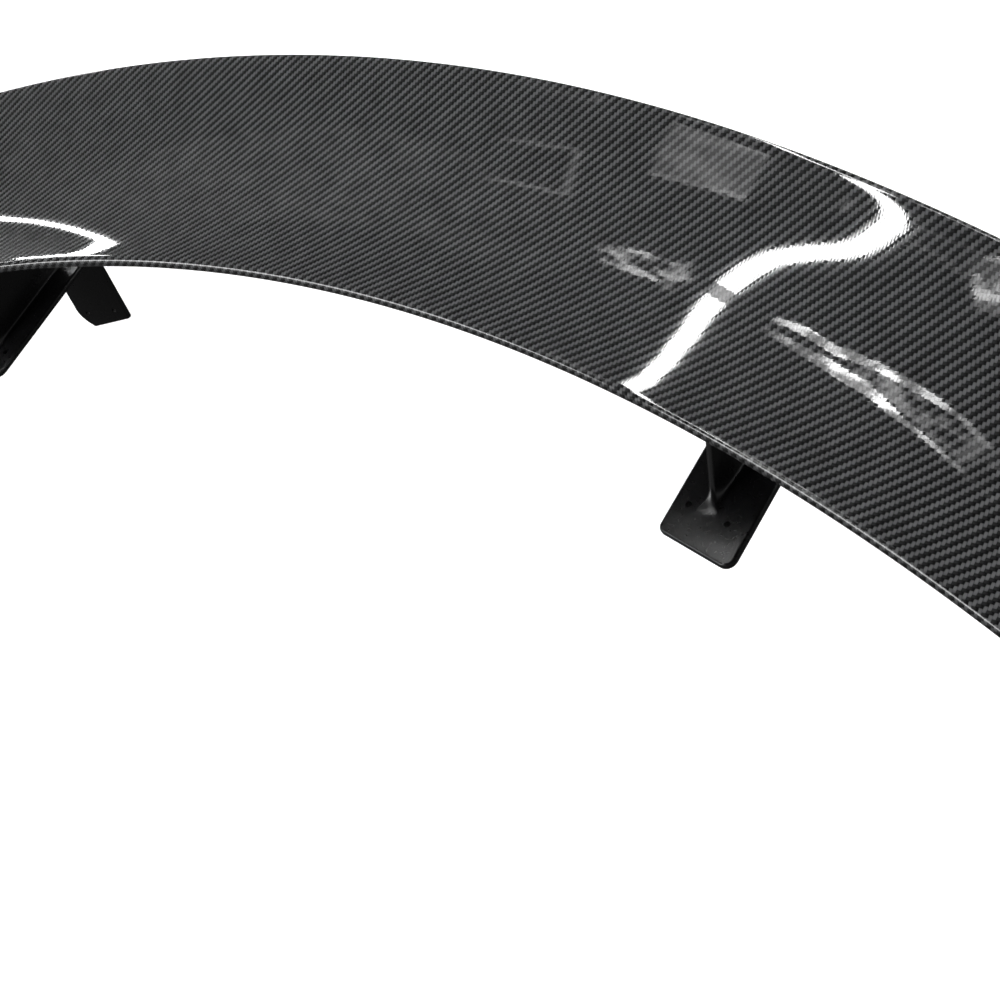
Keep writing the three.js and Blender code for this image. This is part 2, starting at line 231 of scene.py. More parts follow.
def mesh_object(name, verts, faces):
    """A new object from millimetre points, with consistent outward faces."""
    obj = new_object(name, [Vector(v) * MM for v in verts], faces)
    tidy_faces(obj.data, SMOOTHED_UNDER)
    return obj


def ring_faces(rings, count):
    """Quads between successive closed rings of the same number of points."""
    faces = []
    for r in range(rings - 1):
        for i in range(count):
            j = (i + 1) % count
            faces.append((r * count + i, r * count + j, (r + 1) * count + j, (r + 1) * count + i))
    return faces


def closed_faces(rings, count):
    """Quads between successive rings, and one face over each end."""
    ends = [tuple(reversed(range(count))), tuple(range((rings - 1) * count, rings * count))]
    return ring_faces(rings, count) + ends


def rounded_outline(corners, steps=10):
    """A closed outline through corner points, each rounded with its own radius."""
    points = []
    for i, (x, y, radius) in enumerate(corners):
        here = np.array([x, y], float)
        before = np.array(corners[i - 1][:2], float) - here
        after = np.array(corners[(i + 1) % len(corners)][:2], float) - here
        before /= np.linalg.norm(before)
        after /= np.linalg.norm(after)
        half = math.acos(float(np.clip(before @ after, -1, 1))) / 2
        reach = radius / math.tan(half)
        bisector = (before + after) / np.linalg.norm(before + after)
        centre = here + bisector * radius / math.sin(half)
        start = here + before * reach - centre
        end = here + after * reach - centre
        a0, a1 = math.atan2(start[1], start[0]), math.atan2(end[1], end[0])
        turn = (a1 - a0 + math.pi) % (2 * math.pi) - math.pi
        for k in range(steps + 1):
            a = a0 + turn * k / steps
            points.append(centre + radius * np.array([math.cos(a), math.sin(a)]))
    return np.array(points)


def offset_outline(points, inset):
    """Moves every point of a closed anticlockwise outline inward."""
    before = points - np.roll(points, 1, axis=0)
    after = np.roll(points, -1, axis=0) - points
    n1 = np.stack([-before[:, 1], before[:, 0]], 1)
    n2 = np.stack([-after[:, 1], after[:, 0]], 1)
    n1 /= np.linalg.norm(n1, axis=1, keepdims=True) + 1e-9
    n2 /= np.linalg.norm(n2, axis=1, keepdims=True) + 1e-9
    n = n1 + n2
    n /= np.linalg.norm(n, axis=1, keepdims=True)
    stretch = np.clip((n * n1).sum(1, keepdims=True), 0.5, 1)
    return points + n * inset / stretch


def quarter_turn(steps):
    """Sines and cosines of angles from 0 to a right angle."""
    angles = [math.pi / 2 * k / steps for k in range(steps + 1)]
    return [(math.sin(a), math.cos(a)) for a in angles]


def soft_plate(name, outline, thickness, edge_top, edge_bottom, place):
    """A plate with quarter-round edges; place turns (x, y, z) into the part's frame."""
    turn = quarter_turn(5)
    rings = [(edge_bottom * (1 - sine), edge_bottom * (1 - cosine)) for sine, cosine in turn]
    rings += [(edge_top * (1 - cosine), thickness - edge_top * (1 - sine)) for sine, cosine in turn]
    verts = []
    for inset, z in rings:
        for x, y in offset_outline(outline, inset):
            verts.append(place(x, y, z))
    return mesh_object(name, verts, closed_faces(len(rings), len(outline)))


def cylinder(name, start, end, radius, sides=40):
    """A round bar between two millimetre points."""
    a, b = Vector(start), Vector(end)
    turn = (b - a).to_track_quat("Z", "Y")
    length = (b - a).length
    verts = []
    for z in (0, length):
        for k in range(sides):
            t = 2 * math.pi * k / sides
            verts.append(a + turn @ Vector((radius * math.cos(t), radius * math.sin(t), z)))
    return mesh_object(name, verts, closed_faces(2, sides))


def combine(base, tools, operation):
    """Joins or cuts with other solids, and removes them."""
    for tool in tools:
        modifier = base.modifiers.new("combine", "BOOLEAN")
        modifier.operation = operation
        modifier.solver = "EXACT"
        modifier.object = tool
        graph = bpy.context.evaluated_depsgraph_get()
        mesh = bpy.data.meshes.new_from_object(base.evaluated_get(graph))
        base.modifiers.clear()
        base.data = mesh
        bpy.data.objects.remove(tool)
    tidy_faces(base.data, MOULDED_SMOOTHED_UNDER)
    return base


def mirrored_copy(obj, name):
    """The same piece on the car's other side."""
    copy = in_scene(name, obj.data.copy())
    copy.data.transform(Matrix.Scale(-1, 4, (1, 0, 0)))
    tidy_faces(copy.data, MOULDED_SMOOTHED_UNDER)
    return copy


# ---- wing pieces --------------------------------------------------------------------------


def outline_point(x, path):
    """Path runs from -1 at the lower trailing edge, through 0 at the nose, to 1 at the upper."""
    share = np.minimum(1, path**2)
    z = np.where(path < 0, lower_z(x, share), upper_z(x, share))
    return np.stack([leading_y(x) + share * chord(x), z], -1)


def path_before_edge(x, distance):
    return math.sqrt(1 - distance / chord(x))


def trailing_round(x):
    """The blunt trailing edge, from its upper to its lower corner, as a soft round."""
    top, bottom = outline_point(x, np.array([1.0, -1.0]))
    ahead_top = outline_point(x, np.array(path_before_edge(x, 2.0)))
    ahead_bottom = outline_point(x, np.array(-path_before_edge(x, 2.0)))
    back_top = (top - ahead_top) / np.linalg.norm(top - ahead_top)
    back_bottom = (bottom - ahead_bottom) / np.linalg.norm(bottom - ahead_bottom)
    across = (bottom - top) / np.linalg.norm(bottom - top)
    under = TRAILING_ROUND_UNDER
    drop = np.linalg.norm(bottom - top) - 1.2 * under
    points = []
    for corner, start, end, steps in (
        (top, -back_top * TRAILING_ROUND, across * drop, TRAILING_ROUND_STEPS),
        (bottom, -across * under, -back_bottom * under, TRAILING_UNDER_STEPS),
    ):
        for k in range(steps + 1):
            t = k / steps
            points.append(corner + start * (1 - t) ** 2 + end * t**2)
    return np.array(points)


def upper_section(x):
    """The outside of the upper skin: from the seam, round the nose, back and under the edge."""
    seam = -SEAM_PATH + SEAM_HALF_GAP
    path = np.concatenate([
        np.linspace(seam, -0.02, 14),
        np.linspace(-0.012, 0.20, 40),
        np.linspace(0.20, path_before_edge(x, ROLL_LENGTH + 1), 56)[1:],
        [path_before_edge(x, d) for d in np.linspace(ROLL_LENGTH, TRAILING_ROUND + 0.1, 24)],
    ])
    wrap = np.linspace(TRAILING_ROUND_UNDER + 0.6, UPPER_EDGE_WRAP, UPPER_WRAP_POINTS)
    under = np.array([-path_before_edge(x, d) for d in wrap])
    return np.concatenate([outline_point(x, path), trailing_round(x), outline_point(x, under)])


def lower_section(x):
    """The outside of the lower skin, from its rear end forward to the seam."""
    start, end = -path_before_edge(x, LOWER_EDGE_STOP), -SEAM_PATH - SEAM_HALF_GAP
    return outline_point(x, np.linspace(start, end, 60))


def inside_of(section, depth):
    """The same line, moved into the wing."""
    ahead = np.roll(section, -1, 0)
    behind = np.roll(section, 1, 0)
    ahead[-1], behind[0] = section[-1], section[0]
    tangent = ahead - behind
    tangent /= np.linalg.norm(tangent, axis=1, keepdims=True)
    return section + np.stack([tangent[:, 1], -tangent[:, 0]], 1) * depth


def length_along(points):
    steps = np.linalg.norm(np.diff(points, axis=0), axis=1)
    return np.concatenate([[0], np.cumsum(steps)])


def cloth_v(section):
    """Length along an upper section from the cloth's datum line, which lies across the car."""
    along = length_along(section)
    nose = np.argmin(section[:, 0])
    edge = -(TRAILING_UNDER_STEPS + 1 + UPPER_WRAP_POINTS)
    return along - np.interp(CLOTH_DATUM_Y, section[nose:edge, 0], along[nose:edge])


def cloth_u(x):
    """Length along the wing on the cloth's datum line."""
    stations = np.linspace(0, HALF_SPAN + CAP_LENGTH, 400)
    z = upper_plane(stations, share_at(stations, CLOTH_DATUM_Y))
    along = length_along(np.stack([stations, z], 1))
    return math.copysign(float(np.interp(abs(x), stations, along)), x)


def cloth_object(name, verts, faces, flat, smoothed_under):
    """A new object that stores where each of its points lies on the flat cloth."""
    obj = new_object(name, [Vector(v) * MM for v in verts], faces)
    mesh = obj.data
    layer = mesh.uv_layers.new(name="cloth")
    index = np.zeros(len(mesh.loops), int)
    mesh.loops.foreach_get("vertex_index", index)
    across, along = np.array(flat).T
    u = across * math.cos(CLOTH_TURN) + along * math.sin(CLOTH_TURN)
    v = -across * math.sin(CLOTH_TURN) + along * math.cos(CLOTH_TURN)
    layer.data.foreach_set("uv", (np.stack([u, v], 1)[index] * MM).ravel())
    tidy_faces(mesh, smoothed_under, weld=False)
    return obj


def skin(name, section_at, cloth_at):
    """A shell of even thickness along the whole span."""
    count = round(2 * HALF_SPAN / SPAN_STEP)
    stations = np.linspace(-HALF_SPAN, HALF_SPAN, count + 1)
    verts, flat = [], []
    for x in stations:
        outer = section_at(x)
        v = cloth_at(x, outer)
        inner = inside_of(outer, SKIN_THICKNESS)
        u = cloth_u(x)
        for (y, z), along in zip(outer, v):
            verts.append((x, y, z))
            flat.append((u, along))
        for (y, z), along in zip(inner[::-1], v[::-1]):
            verts.append((x, y, z))
            flat.append((u, along))
    n = len(verts) // len(stations)
    half = n // 2
    faces = ring_faces(len(stations), n)
    for first in (0, (len(stations) - 1) * n):
        for i in range(half - 1):
            face = (first + i, first + i + 1, first + n - 2 - i, first + n - 1 - i)
            faces.append(face if first else tuple(reversed(face)))
    return cloth_object(name, verts, faces, flat, SMOOTHED_UNDER)


def upper_cloth_v(x, section):
    return cloth_v(section)


def lower_cloth_v(x, section):
    """The lower cloth continues from the seam with the upper one."""
    return cloth_v(upper_section(x))[0] - length_along(section[::-1])[::-1]


upper_skin = skin("visual_upper_skin", upper_section, upper_cloth_v)
lower_skin = skin("visual_lower_skin", lower_section, lower_cloth_v)


def closed_section(x):
    """The whole outline of the wing's end, without doubled points."""
    start, end = -path_before_edge(x, LOWER_EDGE_STOP), -SEAM_PATH - 0.01
    lower = outline_point(x, np.linspace(start, end, CAP_LOWER_POINTS))
    return np.concatenate([upper_section(x), lower])


def tip_cap():
    """The right tip's closing piece: the end section, carried on and rounded off at its end."""
    root_x = HALF_SPAN + GAP
    base = closed_section(root_x)
    step = outline_point(root_x + 1, np.array(0.0)) - outline_point(root_x, np.array(0.0))
    flat_end = CAP_LENGTH - GAP - CAP_EDGE_ROUND
    rings = [(0.0, 0.0), (0.0, flat_end)]
    for sine, cosine in quarter_turn(6)[1:]:
        rings.append((CAP_EDGE_ROUND * (1 - cosine), flat_end + CAP_EDGE_ROUND * sine))
    upper_v = cloth_v(base[:-CAP_LOWER_POINTS])
    lower_v = upper_v[0] - np.linspace(CAP_LOWER_CLOTH, 0, CAP_LOWER_POINTS)
    v = np.concatenate([upper_v, lower_v])
    verts, flat = [], []
    for inset, out in rings:
        ring = offset_outline(base[::-1], inset)[::-1] if inset else base
        for (y, z), along in zip(ring, v):
            verts.append((root_x + out, y + step[0] * out, z + step[1] * out))
            flat.append((cloth_u(root_x + out), along))
    faces = closed_faces(len(rings), len(base))
    return cloth_object("visual_right_tip_cap", verts, faces, flat, CAP_SMOOTHED_UNDER)


def mirrored_cap(cap, name):
    """The same cap at the wing's other end, with its cloth running the other way."""
    copy = in_scene(name, cap.data.copy())
    copy.data.transform(Matrix.Scale(-1, 4, (1, 0, 0)))
    copy.data.flip_normals()
    cloth = copy.data.uv_layers["cloth"].data
    uv = np.zeros(2 * len(cloth))
    cloth.foreach_get("uv", uv)
    uv[0::2] *= -1
    cloth.foreach_set("uv", uv)
    return copy


right_cap = tip_cap()
left_cap = mirrored_cap(right_cap, "visual_left_tip_cap")


# ---- pedestal pieces ----------------------------------------------------------------------


def on_foot(across, along, z):
    """A place on the foot, which is skewed: its sides run straight back and its ends slant."""
    return (INNER_X + across, along - FOOT_SKEW * across, z)


def on_flange(across, drop, back):
    """A place on the flange, which leans forward as it drops from the back of the foot."""
    y = FOOT_REAR - drop * math.sin(FLANGE_LEAN) + back * math.cos(FLANGE_LEAN)
    z = FOOT_TOP - drop * math.cos(FLANGE_LEAN) - back * math.sin(FLANGE_LEAN)
    return on_foot(across, y, z)


def foot_plate():
    """The flat foot, rounded at its corners and along its edges."""
    outline = rounded_outline([
        (0, FOOT_FRONT, FOOT_INNER_CORNER),
        (FOOT_WIDTH, FOOT_FRONT, FOOT_OUTER_CORNER),
        (FOOT_WIDTH, FOOT_REAR, FOOT_REAR_CORNER),
        (0, FOOT_REAR, FOOT_REAR_CORNER),
    ])
    return soft_plate(
        "foot", outline, FOOT_THICKNESS, FOOT_EDGE_TOP, FOOT_EDGE_BOTTOM,
        lambda x, y, z: on_foot(x, y, z + FOOT_BASE),
    )


def bend(start, control, end, steps):
    """A curve from start to end that heads for a control point on the way."""
    t = np.linspace(0, 1, steps)[:, None]
    start, control, end = (np.array(p, float) for p in (start, control, end))
    return start * (1 - t) ** 2 + 2 * control * t * (1 - t) + end * t**2


def rear_flange():
    """Hangs from the back of the foot, with one square and one rounded lower corner."""
    width, corner = FLANGE_WIDTH, FLANGE_CORNER_X
    inner, outer, curve = -FLANGE_INNER_DROP, -FLANGE_OUTER_DROP, -FLANGE_CURVE_START
    outline = np.concatenate([
        [(0.0, 0.0), (0.0, -20.0), (0.0, -45.0)],
        bend((0, inner + 1.6), (0, inner), (1.6, inner - 0.2), 7),
        bend((corner - 1.8, outer + 0.2), (corner, outer), (corner + 1.1, outer + 1.6), 7),
        bend((corner + 1.2, outer + 1.8), (width - 0.8, (curve + outer) / 2), (width, curve), 24),
        [(width, -40.0), (width, -20.0), (width, 0.0)],
    ])
    return soft_plate(
        "flange", outline, FLANGE_THICKNESS, FLANGE_EDGE, FLANGE_EDGE,
        lambda x, y, z: on_flange(x, -y, FLANGE_THICKNESS - z),
    )


def fillet(rise, radius):
    """How far a quarter-round fillet stands out at some height above the face that it meets."""
    left = max(0.0, 1 - max(rise, 0.0) / radius)
    return radius * (1 - math.sqrt(max(0.0, 1 - left * left)))


def blade():
    """Leans back as it rises and flares into the foot below and the saddle above."""
    length = BLADE_REAR_FOOT - BLADE_FRONT_FOOT
    alongs = np.concatenate([np.geomspace(0.03, 9, 16), np.linspace(12, length - BLADE_TAIL, 16)])
    right, left = [], []
    for along in alongs:
        grown = 1 - math.exp(-along / BLADE_TAPER)
        settle = along / length
        outer = BLADE_OUTER_FRONT + (BLADE_OUTER_MIDDLE - BLADE_OUTER_FRONT) * grown
        outer += (BLADE_OUTER_REAR - BLADE_OUTER_MIDDLE) * settle**2
        middle = (BLADE_OUTER_FRONT - BLADE_INNER_HALF) / 2
        close = math.sqrt(1 - max(0.0, 1 - along / BLADE_NOSE) ** 2)
        right.append((middle + (outer - middle) * close, along))
        left.append((middle + (-BLADE_INNER_HALF - middle) * close, along))
    widest_right, widest_left = right[-1][0], left[-1][0]
    for sine, cosine in quarter_turn(8)[1:-1]:
        back = length - BLADE_TAIL + BLADE_TAIL * sine * 0.98
        right.append((widest_right * cosine, back))
        left.append((widest_left * cosine, back))
    section = np.array(right + left[::-1])
    low = [0.0, 0.12, 0.3, 0.55, 0.9, 1.3, 1.8, 2.4, 3.2, 4.2, 5.4, 6.8, 8.2, FOOT_FILLET_END]
    shares = list(np.linspace(0, 1, 12)[1:-1]) + [0.93, 0.955, 0.975, 0.99, 1.0]

    def place(x, y, rise, extra):
        front = BLADE_FRONT_FOOT + (BLADE_FRONT_TOP - BLADE_FRONT_FOOT) * rise / BLADE_HEIGHT
        rear = BLADE_REAR_FOOT + (BLADE_REAR_TOP - BLADE_REAR_FOOT) * rise / BLADE_HEIGHT
        toward_end = 2 * y / length - 1
        near_front = max(0.0, 1 - y / BLADE_TAPER) ** 1.5
        wide = FOOT_FILLET_SIDE + (FOOT_FILLET_END - 2 - FOOT_FILLET_SIDE) * near_front
        out_x = np.clip((x + 3.0 * near_front) / 1.8, -1, 1) * (fillet(rise, wide) + extra)
        out_y = toward_end * (fillet(rise, FOOT_FILLET_END) + extra)
        return BLADE_X + x + out_x, front + (rear - front) * y / length + out_y

    def top_rise(x, y):
        rise = 60.0
        for _ in range(12):
            px, py = place(x, y, rise, 0)
            pad_bottom = float(lower_z(px, share_at(px, py))) - GAP - SADDLE_THICKNESS
            rise = pad_bottom + BLADE_INTO_SADDLE - FOOT_TOP
        return rise

    tops = [top_rise(x, y) for x, y in section]
    verts = []
    for x, y in section:
        px, py = place(x, y, 0, 0)
        verts.append((px, py, FOOT_TOP - BLADE_SINK))
    for rise in low:
        for x, y in section:
            px, py = place(x, y, rise, 0)
            verts.append((px, py, FOOT_TOP + rise))
    for share in shares:
        for (x, y), top in zip(section, tops):
            rise = low[-1] + (top - low[-1]) * share
            px, py = place(x, y, rise, fillet(top - BLADE_INTO_SADDLE - rise, SADDLE_FILLET))
            verts.append((px, py, FOOT_TOP + rise))
    return mesh_object("blade", verts, closed_faces(1 + len(low) + len(shares), len(section)))


def saddle():
    """The pad under the wing, shaped to its lower surface."""
    middle = (SADDLE_FRONT + SADDLE_REAR) / 2
    reach = (SADDLE_REAR - SADDLE_FRONT) / 2
    outline = rounded_outline([
        (-SADDLE_HALF_WIDTH, -reach, SADDLE_CORNER),
        (SADDLE_HALF_WIDTH, -reach, SADDLE_CORNER),
        (SADDLE_HALF_WIDTH, reach, SADDLE_CORNER),
        (-SADDLE_HALF_WIDTH, reach, SADDLE_CORNER),
    ], 8)
    sizes = (0.04, 0.25, 0.45, 0.65, 0.85)
    rings = [(size, 0.0, SADDLE_THICKNESS) for size in sizes]
    for sine, cosine in quarter_turn(5):
        rings.append((1.0, SADDLE_EDGE * (1 - sine), SADDLE_THICKNESS - SADDLE_EDGE * (1 - cosine)))
    rings += [(size, 0.0, 0.0) for size in (1.0, *reversed(sizes))]
    verts = []
    for scale, inset, depth in rings:
        for x, y in offset_outline(outline, inset) * scale:
            px, py = BLADE_X + x, middle + y
            verts.append((px, py, float(lower_z(px, share_at(px, py))) - GAP - depth))
    return mesh_object("saddle", verts, closed_faces(len(rings), len(outline)))


def pedestal():
    """Foot, flange, blade and saddle in one moulding, with its screw holes."""
    body = foot_plate()
    body.name = "visual_right_pedestal"
    combine(body, [rear_flange(), blade(), saddle()], "UNION")
    holes = []
    for across, along in FOOT_HOLES:
        start, end = on_foot(across, along, -2), on_foot(across, along, HOLE_BEYOND)
        holes.append(cylinder("hole", start, end, HOLE_RADIUS))
    for across, drop in FLANGE_HOLES:
        at = np.array(on_flange(across, drop, 0))
        side = np.array(on_flange(across + 1, drop, 0)) - at
        down = np.array(on_flange(across, drop + 1, 0)) - at
        back = np.cross(side, down)
        back /= np.linalg.norm(back)
        holes.append(cylinder("hole", at - HOLE_BEFORE * back, at + HOLE_BEYOND * back, HOLE_RADIUS))
    return combine(body, holes, "DIFFERENCE")


right_pedestal = pedestal()
left_pedestal = mirrored_copy(right_pedestal, "visual_left_pedestal")

# ---- materials ----------------------------------------------------------------------------


class Nodes:
    """A node tree, with short ways to add nodes and join them."""

    def __init__(self, tree):
        self.tree = tree

    def add(self, kind, settings=None, **inputs):
        node = self.tree.nodes.new(kind)
        for key, value in (settings or {}).items():
            setattr(node, key, value)
        for key, value in inputs.items():
            self.put(node.inputs[key.replace("_", " ")], value)
        return node

    def put(self, socket, value):
        if isinstance(value, bpy.types.NodeSocket):
            self.tree.links.new(value, socket)
        else:
            socket.default_value = value

    def math(self, operation, *values):
        node = self.add("ShaderNodeMath", {"operation": operation})
        for socket, value in zip(node.inputs, values):
            self.put(socket, value)
        return node.outputs[0]

    def mix(self, share, first, second):
        """A number between first and second."""
        span = self.math("SUBTRACT", second, first)
        return self.math("MULTIPLY_ADD", span, share, first)

    def colour(self, share, first, second):
        node = self.add("ShaderNodeMix", {"data_type": "RGBA"})
        self.put(node.inputs[0], share)
        self.put(node.inputs[6], first)
        self.put(node.inputs[7], second)
        return node.outputs[2]

    def ramp(self, value, low, high, first, last, interpolation="SMOOTHSTEP"):
        """A number that runs from first to last while value runs from low to high."""
        node = self.add("ShaderNodeMapRange", {"interpolation_type": interpolation})
        for socket, setting in zip(node.inputs, (value, low, high, first, last)):
            self.put(socket, setting)
        return node.outputs[0]

    def noise(self, vector, scale, detail=3.0, roughness=0.5):
        node = self.add("ShaderNodeTexNoise", Scale=scale, Detail=detail, Roughness=roughness)
        self.put(node.inputs["Vector"], vector)
        return node.outputs["Fac"]

    def place(self):
        return self.add("ShaderNodeTexCoord").outputs["Object"]

    def bump(self, height, distance, strength=1.0):
        node = self.add("ShaderNodeBump", Height=height, Distance=distance, Strength=strength)
        return node.outputs["Normal"]

    def join(self, kind, *values):
        """A node that combines shaders, given its inputs in order."""
        node = self.add(kind)
        for socket, value in zip(node.inputs, values):
            self.put(socket, value)
        return node.outputs[0]

    def seen_or_not(self, seen, unseen):
        """Shows one shader to the camera and lights the object with another."""
        to_camera = self.add("ShaderNodeLightPath").outputs["Is Camera Ray"]
        return self.join("ShaderNodeMixShader", to_camera, unseen, seen)


class Shader(Nodes):
    """A new material."""

    def __init__(self, name):
        self.material = bpy.data.materials.new(name)
        self.material.use_nodes = True
        super().__init__(self.material.node_tree)
        self.surface = self.tree.nodes["Principled BSDF"]

    def finish(self, **inputs):
        for key, value in inputs.items():
            self.put(self.surface.inputs[key.replace("_", " ")], value)
        return self.material

    def finish_with(self, shader):
        """Uses another shader in place of the principled one."""
        self.tree.nodes.remove(self.surface)
        self.put(self.tree.nodes["Material Output"].inputs["Surface"], shader)
        return self.material


def grey(value):
    return (value, value, value, 1.0)


# The tow colour runs from TOW_DARK to TOW_BRIGHT. How dark a tow comes out is painted shade as well as
# its own tone.
TOW_DARK, TOW_BRIGHT = grey(0.001), (0.185, 0.187, 0.191, 1.0)
TOW_RELIEF, COAT_RELIEF = 0.03 * MM, 0.002 * MM
FIBRE_STRETCH = (14000.0, 500.0)


def carbon():
    """Clear-coated 2x2 twill: each tow passes over two tows and under two, one step on per row."""
    s = Shader("carbon_twill")
    cloth = s.add("ShaderNodeUVMap", {"uv_map": "cloth"}).outputs["UV"]
    parts = s.add("ShaderNodeSeparateXYZ", Vector=cloth)
    per_tow = 1 / (TOW * MM)
    across_u = s.math("MULTIPLY", parts.outputs["X"], per_tow)
    across_v = s.math("MULTIPLY", parts.outputs["Y"], per_tow)
    in_u, in_v = s.math("FRACT", across_u), s.math("FRACT", across_v)
    cell = s.math("SUBTRACT", s.math("FLOOR", across_u), s.math("FLOOR", across_v))
    step = s.math("FLOORED_MODULO", cell, 4.0)
    lengthwise = s.math("LESS_THAN", step, 1.5)
    float_v = s.math("MULTIPLY", s.math("ADD", s.math("SUBTRACT", 1.0, step), in_v), 0.5)
    float_u = s.math("MULTIPLY", s.math("ADD", s.math("SUBTRACT", step, 2.0), in_u), 0.5)
    along = s.mix(lengthwise, float_u, float_v)
    side = s.mix(lengthwise, in_v, in_u)

    def hump(t, power):
        round_ = s.math("MULTIPLY", s.math("MULTIPLY", t, s.math("SUBTRACT", 1.0, t)), 4.0)
        return s.math("POWER", s.math("MAXIMUM", round_, 0.0), power)

    arch = s.math("MULTIPLY", hump(side, 0.5), hump(along, 0.6))
    shadow = s.math("MULTIPLY", hump(side, 0.3), hump(along, 0.35))
    warp_streak = s.add("ShaderNodeMapping", Vector=cloth, Scale=(*FIBRE_STRETCH, 1.0))
    weft_streak = s.add("ShaderNodeMapping", Vector=cloth, Scale=(*FIBRE_STRETCH[::-1], 1.0))
    streak = s.mix(
        lengthwise,
        s.noise(weft_streak.outputs[0], 1.0, 2.0),
        s.noise(warp_streak.outputs[0], 1.0, 2.0),
    )
    drift = s.noise(cloth, 60.0, 2.0)
    tow_tone = s.math("MULTIPLY", s.mix(streak, 0.3, 1.7), s.mix(drift, 0.6, 1.4))
    # Painted shade: weft floats are painted darker than warp floats, and darkest towards one end, in
    # place of how the lamps catch each fibre direction. Together with shadow, the painted shade where
    # floats dive under their neighbours, and the cloth's own streaks and drift, this sets how dark each
    # tow comes out.
    painted_weft_shade_along = s.mix(along, 0.22, 0.01)
    painted_weft_shade = s.mix(lengthwise, painted_weft_shade_along, 1.0)
    tone_and_painted_shade = s.math("MULTIPLY", s.math("MULTIPLY", s.mix(shadow, 0.12, 1.0), painted_weft_shade), tow_tone)
    wear = s.noise(s.place(), 9.0, 4.0)
    return s.finish(
        Base_Color=s.colour(tone_and_painted_shade, TOW_DARK, TOW_BRIGHT),
        Metallic=0.5,
        Roughness=0.55,
        Anisotropic=0.5,
        Anisotropic_Rotation=s.math("MULTIPLY", s.math("SUBTRACT", 1.0, lengthwise), 0.25),
        Tangent=s.add("ShaderNodeTangent", {"direction_type": "UV_MAP", "uv_map": "cloth"}).outputs[0],
        Normal=s.bump(s.math("ADD", arch, s.math("MULTIPLY", streak, 0.06)), TOW_RELIEF),
        Specular_IOR_Level=0.0,
        Coat_Weight=1.0,
        Coat_Roughness=s.mix(wear, 0.005, 0.02),
        Coat_IOR=1.5,
        Coat_Normal=s.bump(arch, COAT_RELIEF),
    )


def moulded():
    """Satin black glass-filled moulding with a fine grain."""
    s = Shader("moulded_black")
    grain = s.noise(s.place(), 2600.0, 2.0)
    flow = s.noise(s.place(), 70.0, 4.0)
    scuff = s.noise(s.place(), 420.0, 5.0, 0.7)
    return s.finish(
        Base_Color=s.colour(flow, (0.0035, 0.0035, 0.004, 1.0), (0.007, 0.007, 0.0075, 1.0)),
        Roughness=s.mix(scuff, 0.22, 0.36),
        Specular_IOR_Level=0.5,
        Normal=s.bump(grain, 0.012 * MM, 0.5),
    )


def rubber():
    """Matt closed-cell rubber."""
    s = Shader("gasket_rubber")
    cells = s.noise(s.place(), 1800.0, 3.0)
    return s.finish(
        Base_Color=s.colour(cells, grey(0.006), grey(0.014)),
        Roughness=s.mix(cells, 0.75, 0.95),
        Normal=s.bump(cells, 0.04 * MM),
    )


def foam():
    """Sanded structural foam, with its cut cells."""
    s = Shader("structural_foam")
    node = s.add("ShaderNodeTexVoronoi", Scale=900.0)
    s.put(node.inputs["Vector"], s.place())
    return s.finish(
        Base_Color=s.colour(node.outputs["Distance"], (0.50, 0.44, 0.27, 1.0), (0.72, 0.66, 0.46, 1.0)),
        Roughness=0.92,
        Normal=s.bump(node.outputs["Distance"], 0.3 * MM),
    )


def plywood():
    """Sawn plywood, with its plies one above another."""
    s = Shader("plywood")
    stretched = s.add("ShaderNodeMapping", Vector=s.place(), Scale=(40.0, 6.0, 1400.0))
    grain = s.noise(stretched.outputs[0], 3.0, 5.0)
    return s.finish(
        Base_Color=s.colour(grain, (0.24, 0.13, 0.06, 1.0), (0.52, 0.34, 0.18, 1.0)),
        Roughness=s.mix(grain, 0.55, 0.8),
        Normal=s.bump(grain, 0.1 * MM),
    )


def metal(name, dark, light, smooth, rough):
    """Turned metal, with fine marks round it."""
    s = Shader(name)
    turned = s.add("ShaderNodeMapping", Vector=s.place(), Scale=(400.0, 400.0, 4000.0))
    marks = s.noise(turned.outputs[0], 1.0, 3.0)
    return s.finish(
        Base_Color=s.colour(marks, dark, light),
        Metallic=0.95,
        Roughness=s.mix(marks, smooth, rough),
        Normal=s.bump(marks, 0.01 * MM),
    )


finishes = {
    "carbon": carbon(),
    "moulded": moulded(),
    "gasket": rubber(),
    "foam": foam(),
    "laminate": plywood(),
    "steel": metal("black_oxide_steel", grey(0.012), grey(0.035), 0.3, 0.48),
    "insert": metal("machined_aluminium", (0.55, 0.56, 0.58, 1.0), (0.74, 0.75, 0.77, 1.0), 0.2, 0.4),
}


def dress(obj, slot):
    """Gives a piece the material that its slot names."""
    obj.data.materials.clear()
    obj.data.materials.append(finishes[slot])


def show_instead(obj, slot, *replaced):
    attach(obj, "root")
    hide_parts(*replaced)
    dress(obj, slot)


show_instead(upper_skin, "carbon", "upper_skin")
show_instead(lower_skin, "carbon", "lower_skin")
show_instead(right_cap, "carbon", "right_tip_cap")
show_instead(left_cap, "carbon", "left_tip_cap")
show_instead(right_pedestal, "moulded", "right_pedestal")
show_instead(left_pedestal, "moulded", "left_pedestal")

slot_words = {
    "foam_core": "foam",
    "hardpoint_block": "laminate",
    "foot_gasket": "gasket",
    "saddle_bolt": "steel",
    "threaded_insert": "insert",
}
for name, obj in nodes.items():
    for word, slot_name in slot_words.items():
        if name.endswith(word):
            dress(obj, slot_name)

# ---- camera -------------------------------------------------------------------------------

CAMERA_AT = Vector((1.03432, -0.52954, 0.88320))
CAMERA_YAW, CAMERA_PITCH, CAMERA_ROLL = 1.0655, 0.7493, 0.6548
CAMERA_LENS = 73.80


